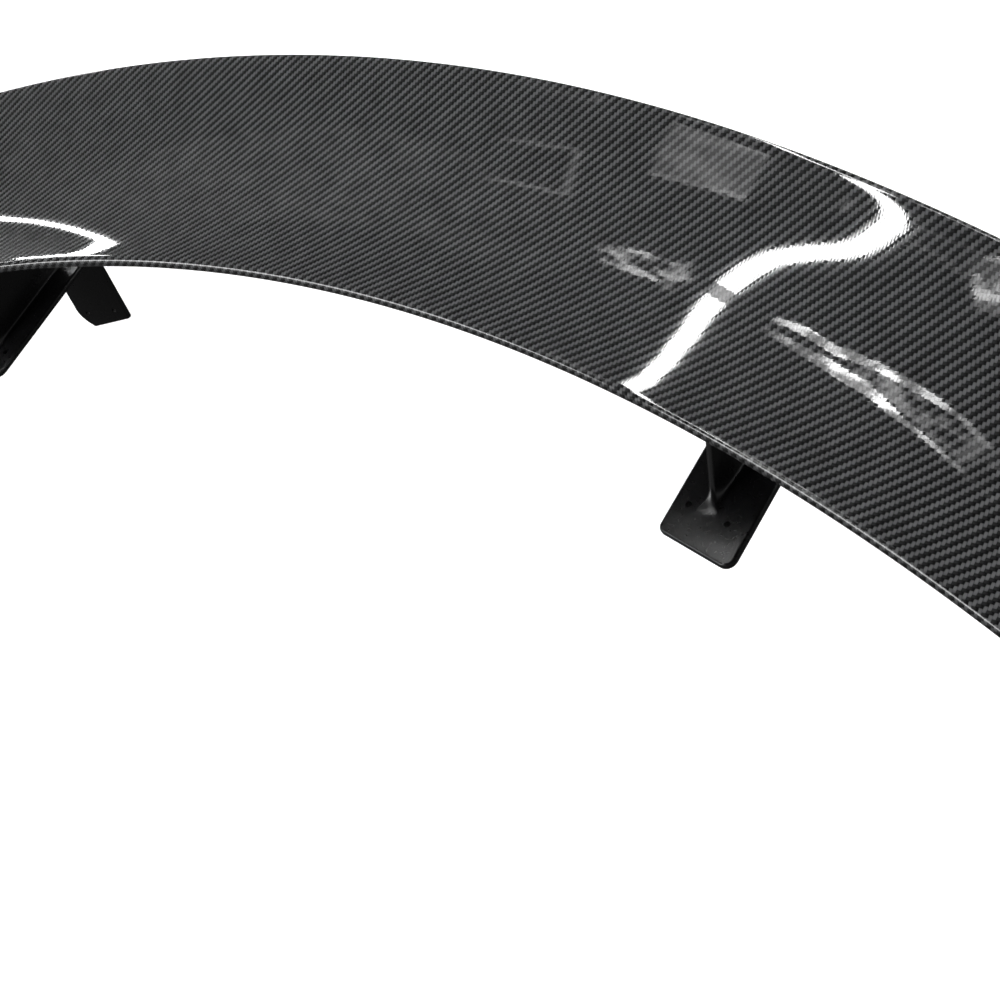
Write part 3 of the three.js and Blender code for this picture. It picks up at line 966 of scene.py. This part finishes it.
def camera_axes(yaw, pitch, roll):
    """Turned from looking rearward: yaw to the left, pitch down, then roll about the view."""
    flat = math.cos(pitch)
    forward = Vector((-math.sin(yaw) * flat, math.cos(yaw) * flat, -math.sin(pitch)))
    level = Vector((math.cos(yaw), math.sin(yaw), 0))
    down = forward.cross(level)
    right = level * math.cos(roll) + down * math.sin(roll)
    low = down * math.cos(roll) - level * math.sin(roll)
    return Matrix((right, -low, -forward)).transposed()


camera = in_scene("camera", bpy.data.cameras.new("camera"))
camera.data.lens = CAMERA_LENS
camera.data.sensor_width = 36.0
camera.data.clip_start = 0.02
turn = camera_axes(CAMERA_YAW, CAMERA_PITCH, CAMERA_ROLL).to_4x4()
camera.matrix_world = Matrix.Translation(CAMERA_AT) @ turn
bpy.context.scene.camera = camera

# ---- floor and light ----------------------------------------------------------------------

FLOOR_Z = float(cad_box[0].z) - 0.002
FLOOR_REACH = 30.0
FLOOR_GREY = 0.6
FLOOR_GLOW_SEEN, FLOOR_GLOW_MIRRORED = 0.90, 0.07
OVERHEAD_FRONT, OVERHEAD_REAR, WALLS = 0.025, 0.05, 0.42
LIGHT_HEIGHT = 2.0

corners = [
    (x * FLOOR_REACH, y * FLOOR_REACH, FLOOR_Z) for x, y in ((-1, -1), (1, -1), (1, 1), (-1, 1))
]
floor = new_object("floor", corners, [(0, 1, 2, 3)])


def floor_look():
    """Pale to the camera and dim in the gloss, as the room is."""
    s = Shader("floor_pale")
    matt = s.add("ShaderNodeBsdfDiffuse", Color=grey(FLOOR_GREY)).outputs[0]
    glow = s.add("ShaderNodeEmission", Strength=FLOOR_GLOW_SEEN).outputs[0]
    dim = s.add("ShaderNodeEmission", Strength=FLOOR_GLOW_MIRRORED).outputs[0]
    return s.finish_with(s.seen_or_not(s.join("ShaderNodeAddShader", matt, glow), dim))


floor.data.materials.append(floor_look())


def room_brightness(room):
    """The room that the gloss mirrors: dim overhead, brighter low down, with soft unevenness."""
    direction = room.add("ShaderNodeTexCoord").outputs["Generated"]
    parts = room.add("ShaderNodeSeparateXYZ", Vector=direction)
    rise = room.ramp(parts.outputs["Y"], -0.05, 0.22, OVERHEAD_FRONT, OVERHEAD_REAR)
    uneven = room.ramp(room.noise(direction, 3.5), 0.35, 0.65, 0.6, 1.4, "LINEAR")
    walls = room.ramp(parts.outputs["Z"], 0.18, 0.42, WALLS, 0.0)
    return room.math("ADD", room.math("MULTIPLY", rise, uneven), walls)


world = bpy.data.worlds.new("studio")
bpy.context.scene.world = world
world.use_nodes = True
world.node_tree.nodes.clear()
room = Nodes(world.node_tree)
pale_room = room.add("ShaderNodeBackground", Color=grey(1.0), Strength=1.0).outputs[0]
dim_room = room.add("ShaderNodeBackground", Color=grey(1.0), Strength=room_brightness(room)).outputs[0]
room.add("ShaderNodeOutputWorld", Surface=room.seen_or_not(pale_room, dim_room))


def glowing(name, patchiness):
    """Glows as its points say, in patches where patchiness is above zero."""
    s = Shader(name)
    strength = s.add("ShaderNodeAttribute", {"attribute_name": "glow"}).outputs["Fac"]
    if patchiness:
        cloud = s.ramp(s.noise(s.place(), 13.0, 4.0, 0.6), 0.44, 0.60, 1 - patchiness, 1.0)
        strength = s.math("MULTIPLY", strength, cloud)
    return s.finish_with(s.add("ShaderNodeEmission", Strength=strength).outputs[0])


def strip_light(name, line, patchiness=0.0, height=LIGHT_HEIGHT):
    """A thin lamp overhead, through points given as (x, y, width, radiance)."""
    line = np.array(line)
    points, widths, radiances = line[:, :2], line[:, 2:3], line[:, 3]
    tangent = np.gradient(points, axis=0)
    tangent /= np.linalg.norm(tangent, axis=1, keepdims=True)
    side = np.stack([tangent[:, 1], -tangent[:, 0]], 1) * widths / 2
    verts = [(x, y, height) for x, y in np.concatenate([points - side, points + side])]
    n = len(points)
    obj = new_object(name, verts, [(i, i + 1, n + i + 1, n + i) for i in range(n - 1)])
    glow = obj.data.attributes.new("glow", "FLOAT", "POINT")
    glow.data.foreach_set("value", np.tile(radiances, 2))
    obj.data.materials.append(glowing(name, patchiness))
    obj.visible_camera = False


def panel_light(name, at, toward, size, radiance):
    """A round lamp that faces a point."""
    light = bpy.data.lights.new(name, "AREA")
    light.shape = "DISK"
    light.size = size
    light.energy = radiance * math.pi * math.pi * (size / 2) ** 2
    obj = in_scene(name, light)
    obj.location = at
    obj.rotation_mode = "QUATERNION"
    obj.rotation_quaternion = (Vector(toward) - Vector(at)).to_track_quat("-Z", "Y")
    obj.visible_camera = False


TUBE_WIDTH, TUBE_RADIANCE = 0.062, 30
FAR_TUBE_WIDTH = 0.13


def tube(name, path, radiance=TUBE_RADIANCE, width=TUBE_WIDTH):
    strip_light(name, [(x, y, width, radiance) for x, y in path])


# The photo's highlights, traced back through the surface to where their lamps would hang.
strip_light("tube_near_far_end", [
    (-1.2, 3.2, TUBE_WIDTH, 3), (-0.98, 2.0, TUBE_WIDTH, 6), (-0.89, 1.52, TUBE_WIDTH, TUBE_RADIANCE)
])
tube("tube_near_rear", [(-0.89, 1.52), (-0.815, 1.3), (-0.765, 1.0), (-0.75, 0.7), (-0.772, 0.38)])
tube("tube_near_joint", [(-0.772, 0.378), (-0.778, 0.298)], 7)
tube("tube_near_front", [
    (-0.779, 0.295), (-0.79, 0.15), (-0.788, 0.03), (-0.772, -0.03), (-0.756, -0.09), (-0.732, -0.15),
    (-0.724, -0.21), (-0.732, -0.27), (-0.748, -0.33), (-0.76, -0.5),
])
strip_light("tube_near_front_end", [
    (-0.76, -0.5, TUBE_WIDTH, TUBE_RADIANCE), (-0.765, -0.8, TUBE_WIDTH, 8), (-0.78, -2.6, TUBE_WIDTH, 3)
])
tube("tube_far", [
    (-4.2, -1.0), (-4.22, 0.5), (-4.18, 1.03), (-4.08, 1.23), (-4.06, 1.47), (-4.12, 1.74),
    (-4.21, 1.94),
], width=FAR_TUBE_WIDTH)
strip_light("tube_far_return", [
    (x, y, width, TUBE_RADIANCE) for x, y, width in (
        (-4.21, 1.93, 0.13), (-4.43, 2.08, 0.12), (-4.84, 2.33, 0.1),
        (-5.33, 2.57, 0.12), (-5.83, 2.7, 0.12), (-6.5, 2.82, 0.12),
    )
])
strip_light("lamp_low", [
    (-0.62, 0.375, 0.03, 3), (-0.51, 0.35, 0.06, 14), (-0.45, 0.334, 0.075, 22),
    (-0.38, 0.326, 0.085, 34), (-0.33, 0.306, 0.08, 34), (-0.26, 0.312, 0.055, 30),
    (-0.19, 0.322, 0.035, 24), (-0.11, 0.31, 0.03, 12), (-0.05, 0.317, 0.03, 7),
    (0.02, 0.324, 0.03, 3), (0.11, 0.325, 0.02, 0.5),
], 0.85)
strip_light("lamp_high", [
    (-0.63, 0.295, 0.03, 9), (-0.55, 0.245, 0.055, 22), (-0.47, 0.236, 0.06, 28),
    (-0.42, 0.197, 0.055, 26), (-0.37, 0.164, 0.055, 28), (-0.29, 0.13, 0.045, 22),
    (-0.24, 0.108, 0.04, 16), (-0.18, 0.093, 0.033, 12), (-0.12, 0.092, 0.03, 5),
    (-0.04, 0.12, 0.05, 2.5), (0.03, 0.17, 0.05, 1),
], 0.85)
strip_light("lamp_between", [
    (-0.4, 0.24, 0.08, 5), (-0.25, 0.21, 0.13, 4), (-0.02, 0.22, 0.17, 1.5)
], 1.0, LIGHT_HEIGHT + 0.01)
strip_light("window", [(-1.22, -0.11, 0.19, 1.7), (-1.02, -0.205, 0.19, 2.1)], 0.5)
strip_light("window_sill", [(-1.18, -0.01, 0.022, 3.2), (-0.98, -0.11, 0.022, 4.2)], 0.5)
strip_light("window_head", [(-1.27, -0.205, 0.02, 2), (-1.06, -0.305, 0.02, 3)], 0.5)
strip_light("frame_front", [(-1.52, 0.10, 0.015, 1.2), (-1.35, 0.03, 0.015, 1.2)])
strip_light("frame_rear", [(-1.51, 0.32, 0.02, 1.2), (-1.29, 0.25, 0.02, 1.6)])
strip_light("frame_side", [(-1.35, 0.03, 0.015, 1.2), (-1.29, 0.25, 0.02, 1.6)])
strip_light("clutter", [(-1.11, 0.50, 0.12, 5), (-0.98, 0.42, 0.16, 9), (-0.88, 0.33, 0.08, 5)], 1.0)
strip_light("hook", [(-0.895, 0.27, 0.02, 3), (-0.92, 0.38, 0.025, 6), (-0.885, 0.50, 0.03, 6)], 0.7)
strip_light("bright_corner", [(-0.60, -0.475, 0.07, 6), (-0.43, -0.345, 0.07, 14)], 0.9)
strip_light("corner_arc", [(-0.90, -0.38, 0.02, 1.5), (-0.83, -0.27, 0.02, 3)], 0.7)
strip_light("corner_dash", [(-0.78, -0.46, 0.01, 6), (-0.72, -0.49, 0.01, 5)], 0.5)
strip_light("corner_line", [(-0.70, -0.33, 0.012, 3), (-0.56, -0.38, 0.012, 2)], 0.6)
strip_light("pale_ceiling", [
    (-3.4, 1.1, 0.8, 0.15), (-2.4, 0.68, 0.8, 0.35), (-1.9, 0.56, 0.75, 0.35), (-1.25, 0.55, 0.6, 0.15)
], 0.8, LIGHT_HEIGHT + 0.04)

# Soft fills, which bring out the pedestals' edges.
panel_light("front_fill", (-1.3, -1.95, 1.65), (0.36, -0.05, 0.0), 1.0, 9.0)
panel_light("nose_fill", (-2.0, -1.45, 1.35), (0.33, -0.03, 0.09), 0.7, 8.0)
panel_light("side_fill", (2.6, 1.15, 1.55), (0.38, 0.0, 0.0), 1.0, 14.0)
panel_light("rear_fill", (-0.6, 3.1, 1.15), (0.55, 0.1, 0.12), 1.2, 4.0)

bpy.context.scene.view_settings.view_transform = "Standard"
